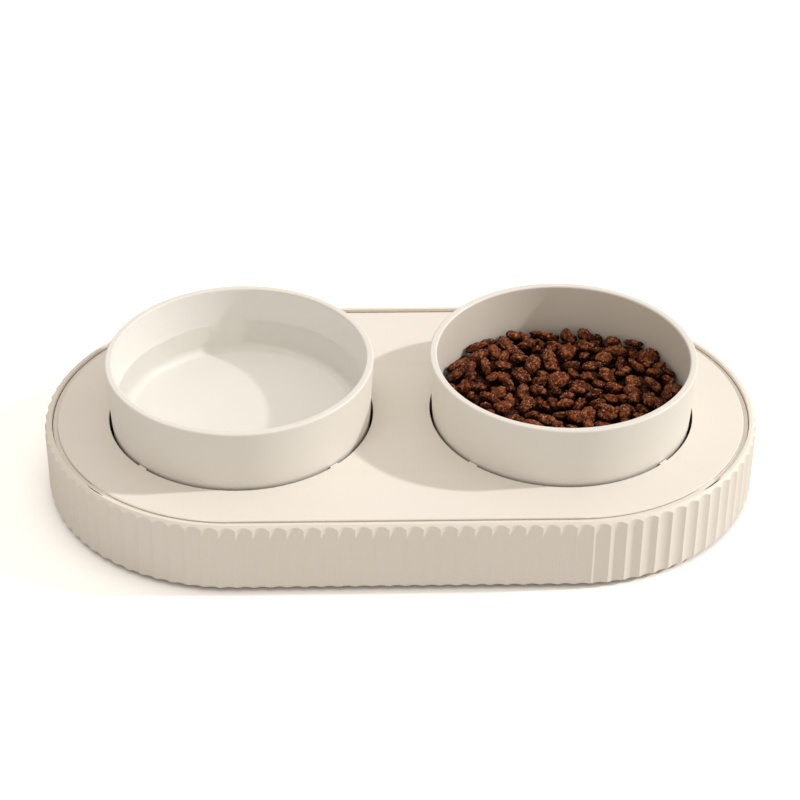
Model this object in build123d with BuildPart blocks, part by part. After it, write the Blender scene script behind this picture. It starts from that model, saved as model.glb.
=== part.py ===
from build123d import *
import os
from math import cos, pi, radians, sin, sqrt, tan

# Double pet bowl: a low fluted base with round ends, an inset deck that lifts out, and two
# round bowls that stand in the deck's holes and lift out too.
# Millimetres, +Z up. The origin is on the floor, in the middle of the base. -Y is the front.

# ---------------------------------------------------------------- driving sizes
# Cutters
beyond = 10.0               # how far a cutter runs past the whole of what it cuts
overrun = 1.0               # and where something lies close behind
nearness = 0.01             # two heights this close count as one
flute_skin = 0.5            # the base's blank stands this far proud of the flutes' ridges

# Base shell
base_length = 400.0
base_width = 216.0
base_top = 43.8             # rim above the floor
skirt_gap = 3.0             # air under the skirt
rim_width = 4.2             # rim round the deck, and so the skirt's full wall
rim_chamfer = 2.3           # the rim's outer edge, which the flutes run out into
rim_round = 0.4             # the rim's inner edge
hem_chamfer = 0.7           # the skirt's lower outer edge
flute_pitch = 9.0           # nearest pitch that divides the skirt evenly is used
flute_depth = 1.3
flute_land = 0.35           # flat left on each ridge between two flutes
ledge_reach = 8.0           # the deck's ledge, in from the skirt
ledge_thickness = 2.4
boss_radius = 4.5
boss_inset = 15.0           # screw bosses, in from the outline
boss_web = 2.2

# Deck
deck_thickness = 3.0
deck_drop = 0.8             # deck top below the rim
deck_edge_round = 0.7
groove_width = 3.0          # moat between the rim and the raised deck
groove_depth = 2.15         # its floor below the rim
deck_fit = 0.35             # gap from the deck's border to the rim
lift_slot_angle = 45.0      # pry slots, on the diagonals of each round end
lift_slot_width = 1.0       # at a slot's middle, between the deck's border and the rim
lift_slot_window = 17.5     # the ledge is open this far along under a slot
collar_height = 10.0        # collar under the deck round each hole
collar_wall = 2.2
rib_height = 6.0
rib_thickness = 2.0
rib_fit = 1.0               # gap from a rib's end to a screw boss
hole_fit = 1.5              # gap from a hole to the bowl's wall at the deck's top
hole_round = 0.25           # a hole's upper edge
nib_count = 4
nib_width = 5.5
nib_fit = 0.45              # gap from a nib to the wall there

# Bowls
bowl_spacing = 180.0        # between the two bowls' centres
bowl_radius = 74.5          # at the lip
bowl_top = 80.0
bowl_wall = 4.2
lip_flat = 1.4              # left on top between the lip's two rounds
bowl_taper = 3.1            # degrees of lean of the wall
bowl_floor = 4.0
bowl_corner = 11.0          # outside, between wall and underside
bowl_inner_corner = 9.0
bowl_foot_radius = 58.0
bowl_foot_width = 4.0
bowl_foot_height = 2.5

# Bottom cover
cover_thickness = 2.5
cover_recess = 0.5          # cover above the skirt's lower edge
cover_fit = 0.4             # gap from the cover to the skirt
drum_radius = 63.0          # raised drum that a bowl stands on
drum_top = 21.0
drum_wall = 2.5
drum_round = 1.5
drum_rib_height = 5.0
drum_rib_count = 6
hub_radius = 9.0
spigot_height = 1.6         # low ring that centres a bowl's foot
spigot_width = 2.5
spigot_fit = 0.6

# Screws and feet
screw_radius = 1.5
screw_length = 10.0
screw_head_radius = 2.8
screw_head_height = 1.9
screw_head_round = 0.6
screw_drive = 0.7           # width of the cross recess, and its depth
screw_fit = 0.05
head_fit = 0.4
cup_wall = 1.6              # cover above a sunk screw head
foot_radius = 7.5
foot_socket = 1.0           # depth of the foot's socket in the cover
foot_chamfer = 0.8
foot_fit = 0.2
foot_inset = 16.0

# Contents
water_top = 58.0
food_edge = 57.0            # kibble heap where it meets the wall
food_crown = 61.0           # and at its middle
content_fit = 0.2

# ---------------------------------------------------------------- worked out
end_radius = base_width / 2
straight = base_length - base_width
plan_length = 2 * straight + 2 * pi * end_radius
flute_count = 4 * round(plan_length / flute_pitch / 4)
pitch = plan_length / flute_count

deck_top = base_top - deck_drop
deck_seat = deck_top - deck_thickness
groove_floor = base_top - groove_depth
ledge_under = deck_seat - ledge_thickness
border_inset = rim_width + deck_fit
raised_inset = rim_width + groove_width
ledge_inset = rim_width + ledge_reach
rib_inset = boss_inset + boss_radius + rib_fit

lean = tan(radians(bowl_taper))
lip_radius = (bowl_wall - lip_flat) / 2
lip_centre = bowl_top - lip_radius
bowl_underside = drum_top + bowl_foot_height
bowl_inside = bowl_underside + bowl_floor
bowl_x = bowl_spacing / 2
water_spot = (-bowl_x, 0.0)
food_spot = (bowl_x, 0.0)
bowl_spots = [water_spot, food_spot]

cover_inset = rim_width + cover_fit
cover_under = skirt_gap + cover_recess
cup_under = cover_under + screw_head_height + head_fit
boss_under = cup_under + cup_wall
cup_radius = screw_head_radius + head_fit + cup_wall
foot_top = cover_under + foot_socket
spigot_radius = bowl_foot_radius - bowl_foot_width - spigot_fit


def wall_radius(height):
    """Outer radius of a bowl's leaning wall at a height above the floor."""
    return bowl_radius - lean * (lip_centre - height)


def bore_radius(height):
    """Inner radius of a bowl's wall at a height above the floor."""
    return wall_radius(height) - bowl_wall


hole_radius = wall_radius(deck_top) + hole_fit
nib_reach = wall_radius(deck_top) + nib_fit


def on_plan(travel, inset):
    """A point on the base's outline, walking anticlockwise from the front's middle.

    The point is then moved straight in from the outline by the inset.
    """
    half = straight / 2
    turn = pi * end_radius
    reach = end_radius - inset
    travel = travel % plan_length
    if travel < half:
        return (travel, -reach)
    if travel < half + turn:
        angle = (travel - half) / end_radius - pi / 2
        return (half + reach * cos(angle), reach * sin(angle))
    if travel < half + turn + straight:
        return (half - (travel - half - turn), reach)
    if travel < half + 2 * turn + straight:
        angle = (travel - half - turn - straight) / end_radius + pi / 2
        return (-half + reach * cos(angle), reach * sin(angle))
    return (travel - plan_length, -reach)


def end_spots(radius, angle):
    """The four diagonal spots on the two round ends, with the way that each faces."""
    spots = []
    for side, heading in ((1, angle), (1, -angle), (-1, 180 - angle), (-1, 180 + angle)):
        x = side * straight / 2 + radius * cos(radians(heading))
        spots.append((x, radius * sin(radians(heading)), heading))
    return spots


# Screw bosses stand beside the skirt at the six ends of its straight and round stretches.
boss_spots = [
    (side * straight / 2, end * (end_radius - boss_inset), 90 * end)
    for side in (-1, 1)
    for end in (-1, 1)
]
boss_spots += [(side * (base_length / 2 - boss_inset), 0.0, 90 - 90 * side) for side in (-1, 1)]
screw_spots = [(x, y) for x, y, heading in boss_spots]
foot_spots = [(0.0, end * (end_radius - foot_inset)) for end in (-1, 1)]
foot_spots += [(x, y) for x, y, heading in end_spots(end_radius - foot_inset, lift_slot_angle)]

os.makedirs("parts", exist_ok=True)


# ---------------------------------------------------------------- base shell
# The blank stands proud of the ridges, so that its chamfers run through them and the flutes
# end under the rim in round arches.
with BuildSketch() as fluted_plan:
    with BuildLine():
        for index in range(flute_count):
            start = index * pitch + flute_land / 2
            end = (index + 1) * pitch - flute_land / 2
            valley = on_plan((start + end) / 2, flute_depth)
            ThreePointArc(on_plan(start, 0), valley, on_plan(end, 0))
            Line(on_plan(end, 0), on_plan(end + flute_land, 0))
    make_face()

with BuildPart() as base_shell:
    with BuildSketch(Plane.XY.offset(skirt_gap)):
        SlotOverall(base_length + 2 * flute_skin, base_width + 2 * flute_skin)
    extrude(amount=base_top - skirt_gap)
    chamfer(base_shell.faces().sort_by(Axis.Z)[-1].edges(), length=rim_chamfer + flute_skin)
    chamfer(base_shell.faces().sort_by(Axis.Z)[0].edges(), length=hem_chamfer + flute_skin)
    with BuildSketch(Plane.XY.offset(skirt_gap - beyond)):
        SlotOverall(base_length + 2 * beyond, base_width + 2 * beyond)
        add(fluted_plan.sketch, mode=Mode.SUBTRACT)
    extrude(amount=base_top + 2 * beyond, mode=Mode.SUBTRACT)

    # Inside of the skirt, open from the floor to the rim.
    with BuildSketch(Plane.XY.offset(skirt_gap - beyond)):
        SlotOverall(base_length - 2 * rim_width, base_width - 2 * rim_width)
    extrude(amount=base_top + 2 * beyond, mode=Mode.SUBTRACT)
    rim_face = base_shell.faces().sort_by(Axis.Z)[-1]
    fillet(rim_face.inner_wires()[0].edges(), radius=rim_round)

    # Ledge that the deck's border lies on.
    with BuildSketch(Plane.XY.offset(ledge_under)):
        SlotOverall(base_length - rim_width, base_width - rim_width)
        SlotOverall(
            base_length - 2 * ledge_inset, base_width - 2 * ledge_inset, mode=Mode.SUBTRACT
        )
    extrude(amount=ledge_thickness)

    # Screw bosses from the ledge down to the cover, each with a web to the skirt.
    web_length = boss_inset - rim_width / 2
    with BuildSketch(Plane.XY.offset(boss_under)):
        for x, y, heading in boss_spots:
            with Locations(Location((x, y, 0), (0, 0, heading))):
                Circle(boss_radius)
                with Locations((web_length / 2, 0)):
                    Rectangle(web_length, boss_web)
    extrude(amount=ledge_under - boss_under)
    with BuildSketch(Plane.XY.offset(boss_under)):
        with Locations(*screw_spots):
            Circle(screw_radius + screw_fit)
    extrude(amount=screw_length, mode=Mode.SUBTRACT)

    # The ledge is open under the deck's pry slots.
    skirt_inside = end_radius - rim_width
    window_outer = sqrt(skirt_inside**2 - (lift_slot_window / 2) ** 2)
    window_depth = window_outer - (end_radius - ledge_inset) + overrun
    with BuildSketch(Plane.XY.offset(ledge_under - overrun)):
        for x, y, heading in end_spots(window_outer - window_depth / 2, lift_slot_angle):
            with Locations(Location((x, y, 0), (0, 0, heading))):
                Rectangle(window_depth, lift_slot_window)
    extrude(amount=ledge_thickness + 2 * overrun, mode=Mode.SUBTRACT)

base_shell.part.label = "base_shell"


# ---------------------------------------------------------------- deck
with BuildPart() as deck_panel:
    with BuildSketch(Plane.XY.offset(deck_seat)):
        SlotOverall(base_length - 2 * border_inset, base_width - 2 * border_inset)
    extrude(amount=groove_floor - deck_seat)
    with BuildSketch(Plane.XY.offset(deck_seat)):
        SlotOverall(base_length - 2 * raised_inset, base_width - 2 * raised_inset)
    extrude(amount=deck_thickness)
    fillet(deck_panel.faces().sort_by(Axis.Z)[-1].edges(), radius=deck_edge_round)

    # Collars and stiffening ribs underneath.
    with BuildSketch(Plane.XY.offset(deck_seat - collar_height)):
        with Locations(*bowl_spots):
            Circle(hole_radius + collar_wall)
    extrude(amount=collar_height)
    with BuildSketch(Plane.XY.offset(deck_seat - rib_height)):
        with Locations((0, 0), (-straight / 4, 0), (straight / 4, 0)):
            Rectangle(rib_thickness, base_width - 2 * rib_inset)
        Rectangle(base_length - 2 * rib_inset, rib_thickness)
    extrude(amount=rib_height)

    # Holes for the bowls.
    with BuildSketch(Plane.XY.offset(deck_seat - collar_height - overrun)):
        with Locations(*bowl_spots):
            Circle(hole_radius)
    extrude(amount=collar_height + deck_thickness + 2 * overrun, mode=Mode.SUBTRACT)
    top_face = deck_panel.faces().sort_by(Axis.Z)[-1]
    fillet(top_face.inner_wires().edges(), radius=hole_round)

    # Four nibs in each hole, level with the deck, come close to the bowl and centre it.
    nib_length = hole_radius + collar_wall / 2 - nib_reach + overrun
    nib_middle = hole_radius + collar_wall / 2 - nib_length / 2
    with BuildSketch(Plane.XY.offset(deck_seat - collar_height)):
        with Locations(*bowl_spots):
            with PolarLocations(nib_middle, nib_count, start_angle=180 / nib_count):
                Rectangle(nib_length, nib_width)
    extrude(amount=collar_height + deck_thickness)
    with BuildSketch(Plane.XY.offset(deck_seat - collar_height - overrun)):
        with Locations(*bowl_spots):
            Circle(nib_reach)
    extrude(amount=collar_height + deck_thickness + 2 * overrun, mode=Mode.SUBTRACT)

    # Pry slots: straight cuts across the round border leave crescent gaps along the rim.
    slot_chord = end_radius - rim_width - lift_slot_width
    with BuildSketch(Plane.XY.offset(deck_seat - overrun)):
        for x, y, heading in end_spots(slot_chord + beyond / 2, lift_slot_angle):
            with Locations(Location((x, y, 0), (0, 0, heading))):
                Rectangle(beyond, 2 * lift_slot_window)
    extrude(amount=groove_floor - deck_seat + overrun, mode=Mode.SUBTRACT)

deck_panel.part.label = "deck_panel"


# ---------------------------------------------------------------- bottom cover
with BuildPart() as bottom_cover:
    with BuildSketch(Plane.XY.offset(cover_under)):
        SlotOverall(base_length - 2 * cover_inset, base_width - 2 * cover_inset)
    extrude(amount=cover_thickness)

    # Two raised drums, hollow from below, carry the bowls.
    with BuildSketch(Plane.XY.offset(cover_under)):
        with Locations(*bowl_spots):
            Circle(drum_radius)
    extrude(amount=drum_top - cover_under)
    drum_rims = bottom_cover.faces().filter_by(Plane.XY).group_by(Axis.Z)[-1].edges()
    fillet(drum_rims, radius=drum_round)
    with BuildSketch(Plane.XY.offset(drum_top)):
        with Locations(*bowl_spots):
            Circle(spigot_radius)
            Circle(spigot_radius - spigot_width, mode=Mode.SUBTRACT)
    extrude(amount=spigot_height)
    with BuildSketch(Plane.XY.offset(cover_under)):
        with Locations(*bowl_spots):
            Circle(drum_radius - drum_wall)
    extrude(amount=drum_top - drum_wall - cover_under, mode=Mode.SUBTRACT)

    # Ribs and a hub under each drum's roof.
    rib_reach = drum_radius - drum_wall / 2 - hub_radius
    with BuildSketch(Plane.XY.offset(drum_top - drum_wall - drum_rib_height)):
        with Locations(*bowl_spots):
            with PolarLocations(hub_radius + rib_reach / 2, drum_rib_count):
                Rectangle(rib_reach, rib_thickness)
            Circle(hub_radius + drum_wall / 2)
            Circle(hub_radius - drum_wall / 2, mode=Mode.SUBTRACT)
    extrude(amount=drum_rib_height)

    # Cups over the sunk screw heads.
    with BuildSketch(Plane.XY.offset(cover_under)):
        with Locations(*screw_spots):
            Circle(cup_radius)
    extrude(amount=boss_under - cover_under)
    with BuildSketch(Plane.XY.offset(cover_under)):
        with Locations(*screw_spots):
            Circle(screw_head_radius + head_fit)
    extrude(amount=cup_under - cover_under, mode=Mode.SUBTRACT)
    with BuildSketch(Plane.XY.offset(cover_under)):
        with Locations(*screw_spots):
            Circle(screw_radius + head_fit)
    extrude(amount=boss_under - cover_under, mode=Mode.SUBTRACT)

    # Sockets for the feet.
    with BuildSketch(Plane.XY.offset(cover_under)):
        with Locations(*foot_spots):
            Circle(foot_radius + foot_fit)
    extrude(amount=foot_socket, mode=Mode.SUBTRACT)

bottom_cover.part.label = "bottom_cover"


# ---------------------------------------------------------------- screws and feet
with BuildPart() as cover_screws:
    with BuildSketch(Plane.XY.offset(cup_under - screw_head_height)):
        with Locations(*screw_spots):
            Circle(screw_head_radius)
    extrude(amount=screw_head_height)
    fillet(cover_screws.edges().group_by(Axis.Z)[0], radius=screw_head_round)
    with BuildSketch(Plane.XY.offset(cup_under)):
        with Locations(*screw_spots):
            Circle(screw_radius)
    extrude(amount=screw_length)
    with BuildSketch(Plane.XY.offset(cup_under - screw_head_height)):
        with Locations(*screw_spots):
            Rectangle(screw_head_radius, screw_drive)
            Rectangle(screw_drive, screw_head_radius)
    extrude(amount=screw_drive, mode=Mode.SUBTRACT)

cover_screws.part.label = "cover_screws"

with BuildPart() as feet:
    with BuildSketch():
        with Locations(*foot_spots):
            Circle(foot_radius)
    extrude(amount=foot_top)
    chamfer(feet.edges().group_by(Axis.Z)[0], length=foot_chamfer)

feet.part.label = "feet"


# ---------------------------------------------------------------- bowls and what is in them
def upright(spot):
    """The plane of a turned profile that stands on a spot: its X runs out, its Y up."""
    return Plane(origin=(*spot, 0), x_dir=(1, 0, 0), z_dir=(0, -1, 0))


def make_bowl(spot, label):
    """A straight tub with a leaning wall, a round lip and a foot ring."""
    with BuildPart() as bowl:
        with BuildSketch(upright(spot)) as profile:
            with BuildLine():
                Polyline(
                    (0, bowl_underside),
                    (wall_radius(bowl_underside), bowl_underside),
                    (wall_radius(bowl_top), bowl_top),
                    (bore_radius(bowl_top), bowl_top),
                    (bore_radius(bowl_inside), bowl_inside),
                    (0, bowl_inside),
                    close=True,
                )
            make_face()
            fillet(profile.vertices().group_by(Axis.Y)[-1], radius=lip_radius)
            outer_corner = profile.vertices().group_by(Axis.Y)[0].sort_by(Axis.X)[-1]
            fillet(outer_corner, radius=bowl_corner)
            inner_corner = (
                profile.vertices()
                .filter_by_position(Axis.Y, bowl_inside - nearness, bowl_inside + nearness)
                .sort_by(Axis.X)[-1]
            )
            fillet(inner_corner, radius=bowl_inner_corner)
            with Locations((bowl_foot_radius - bowl_foot_width / 2, bowl_underside)):
                Rectangle(bowl_foot_width, 2 * bowl_foot_height)
        revolve(axis=Axis((*spot, 0), (0, 0, 1)))
    bowl.part.label = label
    return bowl


def make_contents(spot, edge_height, crown_height, label):
    """What fills a bowl from its floor up, flat on top or heaped to a crown."""
    rim = bore_radius(edge_height) - content_fit
    floor = bowl_inside + content_fit
    with BuildPart() as contents:
        with BuildSketch(upright(spot)) as profile:
            with BuildLine():
                Polyline(
                    (0, crown_height),
                    (0, floor),
                    (bore_radius(floor) - content_fit, floor),
                    (rim, edge_height),
                )
                if crown_height > edge_height:
                    rise = crown_height - edge_height
                    dome = (rim**2 + rise**2) / (2 * rise)
                    shoulder = crown_height - dome + sqrt(dome**2 - (rim / 2) ** 2)
                    ThreePointArc((rim, edge_height), (rim / 2, shoulder), (0, crown_height))
                else:
                    Line((rim, edge_height), (0, crown_height))
            make_face()
            corner = profile.vertices().group_by(Axis.Y)[0].sort_by(Axis.X)[-1]
            fillet(corner, radius=bowl_inner_corner - content_fit)
        revolve(axis=Axis((*spot, 0), (0, 0, 1)))
    contents.part.label = label
    return contents


water_bowl = make_bowl(water_spot, "water_bowl")
food_bowl = make_bowl(food_spot, "food_bowl")
water = make_contents(water_spot, water_top, water_top, "water")
kibble = make_contents(food_spot, food_edge, food_crown, "kibble")

pieces = (
    base_shell,
    deck_panel,
    bottom_cover,
    cover_screws,
    feet,
    water_bowl,
    food_bowl,
    water,
    kibble,
)
for piece in pieces:
    export_step(piece.part, f"parts/{piece.part.label}.step")
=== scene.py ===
import math
import random

import bmesh
import bpy
import numpy as np
from mathutils import Euler, Matrix, Vector, noise


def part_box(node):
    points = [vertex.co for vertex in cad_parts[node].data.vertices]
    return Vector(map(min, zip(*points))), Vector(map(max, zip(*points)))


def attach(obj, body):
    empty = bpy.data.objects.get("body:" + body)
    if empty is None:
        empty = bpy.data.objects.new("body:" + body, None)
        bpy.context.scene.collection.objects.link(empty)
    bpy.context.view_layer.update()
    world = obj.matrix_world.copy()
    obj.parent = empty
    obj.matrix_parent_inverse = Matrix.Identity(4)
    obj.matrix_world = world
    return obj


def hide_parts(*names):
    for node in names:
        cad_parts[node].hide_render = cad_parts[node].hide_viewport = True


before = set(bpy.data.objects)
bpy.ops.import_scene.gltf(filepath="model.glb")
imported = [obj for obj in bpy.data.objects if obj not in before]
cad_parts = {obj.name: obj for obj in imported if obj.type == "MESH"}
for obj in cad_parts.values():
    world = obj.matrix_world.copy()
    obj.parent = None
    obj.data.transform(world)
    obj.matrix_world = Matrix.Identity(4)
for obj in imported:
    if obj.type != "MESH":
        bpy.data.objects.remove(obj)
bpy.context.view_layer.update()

# Double pet bowl: a fluted base with an inset deck, a bowl of water and a bowl of kibble.
# Metres, +Z up, the frame's own axes. -Y is the front.

MM = 0.001

# ------------------------------------------------------------------ the photograph's camera
FOCAL_PIXELS = 2302.36
PICTURE_PIXELS = 800.0
SENSOR = 36.0
CAMERA_SPOT = Vector((-0.03171, -1.06176, 0.79007))
CAMERA_DOWN = math.radians(34.88)
CAMERA_YAW = math.radians(1.67)
CAMERA_ROLL = math.radians(0.402)

# ------------------------------------------------------------------ light
KEY_HEADING = math.radians(2.5)      # from +X towards +Y
KEY_HEIGHT = math.radians(34.5)
KEY_SPREAD = math.radians(2.5)
KEY_STRENGTH = 1.8
KEY_COLOUR = (1.0, 0.995, 0.985)
FILL_LOW = 0.52                      # strength of the fill from the horizon
FILL_HIGH = 0.88                     # and from straight above
FILL_COLOUR = (1.0, 0.94, 0.865)
WATER_GAIN = 0.35                    # extra fill for the light that comes through the water
FLOOR_COLOUR = (0.7, 0.7, 0.7, 1)    # as it lights the object
FLOOR_SEEN = (1.0, 0.97, 0.92, 1)    # as the camera sees it
FLOOR_LIFT = 0.36                    # brings the lit floor up to white for the camera
FLOOR_ROUGHNESS = 0.9
FLOOR_REACH = 4.0
FLOOR_SHADE_REACH = 60.0 * MM        # the lift fades this near to the object
FLOOR_SHADE_SPAN = (0.25, 0.75)

# ------------------------------------------------------------------ finishes
OPENNESS_SAMPLES = 8
NOISE_SPAN = (0.3, 0.7)              # most of a noise's values lie between these
NOISE_CORE = (0.35, 0.65)

# Plastic
PLASTIC_IOR = 1.46
PLASTIC_DRIFT_SCALE = 14.0
PLASTIC_EDGE_REACH = 0.1
PLASTIC_GLOSS_PLAY = 0.04
PLASTIC_GRAIN_DEPTH = 0.02 * MM
# Painted shade: a dark brown laid into gaps and on faces that other surfaces close in, for the
# contact shadows there.
GAP_SHADE_COLOUR = (0.05, 0.038, 0.026, 1)
GAP_SHADE_REACH = 4.0 * MM                # another surface this near closes a gap
GAP_SHADE_SPAN = (0.18, 0.44)             # openness with full painted shade and with none

# Water
WATER_TINT = (0.985, 0.995, 0.988, 1)
WATER_SHADOW_TINT = (0.98, 0.99, 0.985, 1)
WATER_IOR = 1.333

# Kibble
CRUST_BROWNS = (                     # of the darkest, the middle and the palest pellets
    (0.04, 0.005, 0.001, 1),
    (0.08, 0.014, 0.003, 1),
    (0.18, 0.034, 0.006, 1),
)
CRUST_ROUGHNESS = (0.16, 0.3)
CRUST_SPECULAR = 0.24
CRUST_SPECULAR_TINT = (1.0, 0.46, 0.3, 1)
TOAST_COLOUR = (0.45, 0.145, 0.045, 1)
TOAST_SCALE = 330.0
TOAST_SPAN = (0.46, 0.66)
TOAST_MOST = 0.85
FLECK_COLOUR = (0.85, 0.37, 0.2, 1)
FLECK_SCALE = 760.0
FLECK_SPAN = (0.56, 0.68)
# Painted shade: a near-black brown laid into the pellets' hollows.
CREASE_SHADE_COLOUR = (0.02, 0.003, 0.001, 1)
CREASE_SHADE_REACH = 0.12
CRUMB_SCALE = 560.0
CRUMB_DEPTH = 1.5 * MM
# Painted shade: a near-black brown laid where pellets close one another in, for the shadow between
# them.
CRUST_GAP_SHADE_COLOUR = (0.012, 0.002, 0.0005, 1)
CRUST_GAP_SHADE_REACH = 9.0 * MM
CRUST_GAP_SHADE_SPAN = (0.3, 0.95)

# Screws
ZINC_TINTS = ((0.62, 0.63, 0.65, 1), (0.5, 0.5, 0.49, 1))
ZINC_ROUGHNESS = (0.28, 0.5)
ZINC_GRAIN = 2600.0
ZINC_DRIFT_SCALE = 220.0

# ------------------------------------------------------------------ sizes
shell_low, shell_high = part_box("base_shell")
bowl_low, bowl_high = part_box("water_bowl")
food_low, food_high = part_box("food_bowl")
water_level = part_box("water")[1].z

# Base shell
END_RADIUS = (shell_high.y - shell_low.y) / 2
HALF_STRAIGHT = (shell_high.x - shell_low.x) / 2 - END_RADIUS
TURN = math.pi * END_RADIUS
PLAN_LENGTH = 4 * HALF_STRAIGHT + 2 * TURN
FLUTE_COUNT = 116
FLUTE_PITCH = PLAN_LENGTH / FLUTE_COUNT
FLUTE_DEPTH = 1.3 * MM
RIDGE_ROUND = 0.4 * MM
RIDGE_STEPS = 2
VALLEY_STEPS = 5
RIM_WIDTH = 4.2 * MM
RIM_CHAMFER = 2.3 * MM
RIM_ROUND = 0.4 * MM
HEM_CHAMFER = 0.7 * MM
EDGE_SOFTNESS = 0.15 * MM
LEDGE_TOP = shell_high.z - 3.8 * MM
LEDGE_THICKNESS = 2.4 * MM
LEDGE_REACH = 8.0 * MM
SHARP_FOLD = math.radians(60)        # sharper folds are shaded as edges

# Pry slots between the deck and the rim
SLOT_PLACES = (0.5, 1.5)             # in quarter turns from the start of each round end
SLOT_LENGTH = 17.5 * MM
SLOT_RECESS = 1.2 * MM               # the rim steps back this far beside a slot's middle

# Screw bosses
BOSS_RADIUS = 4.5 * MM
BOSS_INSET = 15.0 * MM
BOSS_UNDER = 7.4 * MM
BOSS_WEB = 2.2 * MM
BOSS_SIDES = 32

# Bowls
BOWL_RADIUS = (bowl_high.x - bowl_low.x) / 2
BOWL_TOP = bowl_high.z
BOWL_WALL = 4.2 * MM
BOWL_LEAN = math.tan(math.radians(3.1))
BOWL_FLOOR = 4.0 * MM
BOWL_CORNER = 11.0 * MM
BOWL_INNER_CORNER = 6.0 * MM
BOWL_FOOT_RADIUS = 58.0 * MM
BOWL_FOOT_WIDTH = 4.0 * MM
BOWL_FOOT_HEIGHT = 2.5 * MM
FOOT_SOFTNESS = 0.8 * MM
LIP_ROUND = 1.1 * MM
BOWL_SIDES = 240
INSIDE_MARGIN = 0.1 * MM             # for telling the bowls' inner faces from the outer ones
bowl_underside = bowl_low.z + BOWL_FOOT_HEIGHT
bowl_inside = bowl_underside + BOWL_FLOOR
water_middle = (bowl_low + bowl_high) / 2
food_middle = (food_low + food_high) / 2
water_spot = Vector((water_middle.x, water_middle.y, 0))
food_spot = Vector((food_middle.x, food_middle.y, 0))

# Water
WATER_LAP = 0.3 * MM                 # the water runs this far into the wall, so no air shows
MENISCUS_HEIGHT = 0.9 * MM
MENISCUS_WIDTH = 2.2 * MM
MENISCUS_STEPS = 6

# Kibble
PELLET_KINDS = 14
PELLET_SEED = 7
PELLET_HALF = (7.3 * MM, 4.9 * MM, 3.9 * MM)
PELLET_SPREAD = (0.6, 1.2)           # smallest and largest pellet, as shares of those halves
PELLET_STYLES = ("bean", "lump", "disc", "chunk")
PELLET_SHARES = {                    # each style's share of the halves
    "bean": (1.0, 1.0, 1.0),
    "lump": (1.0, 0.85, 0.8),
    "disc": (0.95, 1.1, 0.8),
    "chunk": (1.0, 1.0, 1.0),
}
PELLET_TILT = 0.55                   # radians, the usual lean of a pellet
PELLET_LIMIT = 700
PELLET_MISSES = 12                   # the heap is full when this many in a row find no place
NEAR_FACES = 10                      # quads along a cube's edge, for the pellets on top
DEEP_FACES = 4                       # and for those under them
TOP_LAYER = 7.5 * MM                 # pellets this near the heap's top get the finer mesh
CELL = 1.0 * MM                      # grid on which the pellets settle
NEST = 0.93                          # pellets touch at this share of their size
SETTLE_PLAY = 1.2 * MM               # how far from the best fit a pellet may come to rest
WALL_CLEARANCE = 0.6 * MM            # between the bowl's wall and the pellets
BED_DEPTH = 17.0 * MM                # loose pellets lie this deep over the bed
BED_OVERLAP = 1.5 * MM               # the bed's crown reaches this far up among them
BED_DROP = 3.0 * MM                  # the bed's edge lies this far below its crown
BED_SIDES = 64
HEAP_MIDDLE = 61.0 * MM

# The heap's height at the wall in millimetres, every 30 degrees from +X towards +Y
HEAP_EDGE = (61.0, 60.5, 56.5, 55.0, 57.0, 58.5, 60.0, 60.5, 60.0, 59.0, 59.0, 60.0)


# ------------------------------------------------------------------ mesh helpers
ON_AXIS = 1e-7
CORNER_SHARE = 0.49                  # of a side, which a corner's arc may take up


def wall_radius(height):
    """Outer radius of a bowl's leaning wall at a height."""
    return BOWL_RADIUS - BOWL_LEAN * (BOWL_TOP - LIP_ROUND - height)


def bore_radius(height):
    """Inner radius of a bowl's wall at a height."""
    return wall_radius(height) - BOWL_WALL


def make_piece(name, points, faces, materials, body):
    """A smooth mesh piece in the frame's own axes, riding on a body."""
    mesh = bpy.data.meshes.new(name)
    mesh.from_pydata(points, [], faces)
    mesh.validate()
    mesh.polygons.foreach_set("use_smooth", [True] * len(mesh.polygons))
    for material in materials:
        mesh.materials.append(material)
    piece = bpy.data.objects.new(name, mesh)
    bpy.context.scene.collection.objects.link(piece)
    if body:
        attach(piece, body)
    return piece


def weigh_normals(piece):
    """Flat faces stay flat in their shading beside small rounds."""
    modifier = piece.modifiers.new("weighted_normals", "WEIGHTED_NORMAL")
    modifier.keep_sharp = True


def rounded(corners, closed=False):
    """Points of a section, with an arc at each corner given as (x, y, radius, steps)."""
    path = []
    count = len(corners)
    for index, (x, y, radius, steps) in enumerate(corners):
        corner = Vector((x, y))
        at_end = not closed and index in (0, count - 1)
        if radius == 0 or at_end:
            path.append(corner)
            continue
        before = Vector(corners[index - 1][:2]) - corner
        after = Vector(corners[(index + 1) % count][:2]) - corner
        half = before.angle(after) / 2
        room = CORNER_SHARE * min(before.length, after.length)
        reach = min(radius / math.tan(half), room)
        radius = reach * math.tan(half)
        before.normalize()
        after.normalize()
        centre = corner + (before + after).normalized() * (radius / math.sin(half))
        start = corner + before * reach - centre
        sweep = start.angle_signed(corner + after * reach - centre)
        for step in range(steps + 1):
            turn = Matrix.Rotation(-sweep * step / steps, 2)
            path.append(centre + turn @ start)
    return path


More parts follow.
